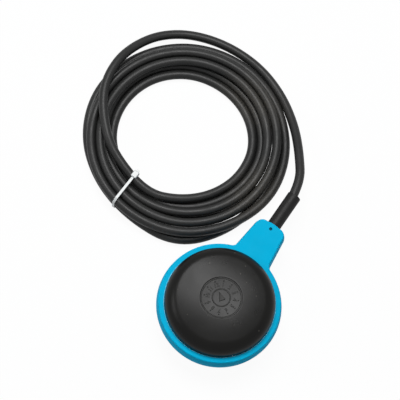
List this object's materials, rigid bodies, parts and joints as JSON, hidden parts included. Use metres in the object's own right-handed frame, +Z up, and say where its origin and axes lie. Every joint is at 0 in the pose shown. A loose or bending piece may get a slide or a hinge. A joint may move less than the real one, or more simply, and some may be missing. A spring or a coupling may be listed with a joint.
{
  "type": "cable float switch",
  "caption": "Round flat float with a blue ring and neck, black domes and a coiled black cable; a ball inside tips a switch when the float turns over.",
  "frame": {"origin": "centre of the lower dome's flat resting face", "axes": "+X runs along the neck towards the cable sleeve, +Z is up from the resting face, +Y completes a right-handed frame and points to the coil's side"},
  "size_m": [0.2633, 0.2516, 0.05],
  "materials": {
    "housing_blue": "satin moulded",
    "dome_black": "satin moulded",
    "sleeve_black": "matte moulded",
    "cable_rubber": "matte with a faint sheen",
    "tie_white": "smooth nylon",
    "capsule_grey": "satin moulded",
    "seal_rubber": "matte",
    "nut_black": "satin moulded",
    "screw_steel": "zinc plated",
    "ball_steel": "polished",
    "track_white": "smooth moulded",
    "switch_black": "satin moulded",
    "lever_steel": "stamped strip",
    "plunger_red": "smooth moulded",
    "terminal_brass": "stamped",
    "connector_tin": "tinned",
    "wire_brown": "insulation",
    "wire_blue": "insulation",
    "wire_black": "insulation"
  },
  "bodies": {
    "float": {"float_housing": "housing_blue", "upper_dome": "dome_black", "lower_dome": "dome_black", "cable_sleeve": "sleeve_black", "cable_end": "cable_rubber", "gland_seal": "seal_rubber", "gland_nut": "nut_black", "capsule_case": "capsule_grey", "capsule_gasket": "seal_rubber", "capsule_lid": "capsule_grey", "lid_screws": "screw_steel", "switch_screws": "screw_steel", "ball_track": "track_white", "switch_base": "switch_black", "switch_cover": "switch_black", "lever_pin": "screw_steel", "terminal_common": "terminal_brass", "terminal_closed": "terminal_brass", "terminal_open": "terminal_brass", "push_on_connectors": "connector_tin", "core_brown": "wire_brown", "core_blue": "wire_blue", "core_black": "wire_black", "cable": "cable_rubber", "cable_coil": "cable_rubber", "cable_tie": "tie_white"},
    "ball": {"steel_ball": "ball_steel"},
    "lever": {"switch_lever": "lever_steel"},
    "plunger": {"switch_plunger": "plunger_red"}
  },
  "joints": [
    {"name": "ball_roll", "type": "slide", "parent": "float", "child": "ball", "axis": [1, 0, 0], "range_m": [0, 0.014]},
    {"name": "lever_swing", "type": "hinge", "parent": "float", "child": "lever", "pos_m": [-0.008, -0.0124, 0.0228], "axis": [0, 0, 1], "range_deg": [-6, 0]},
    {"name": "plunger_press", "type": "slide", "parent": "float", "child": "plunger", "axis": [1, 0, 0], "range_m": [0, 0.00085]}
  ],
  "couplings": [
    {"joint": "lever_swing", "follows": "ball_roll", "rad_per_m": -7.47},
    {"joint": "plunger_press", "follows": "ball_roll", "ratio": 0.0606}
  ]
}
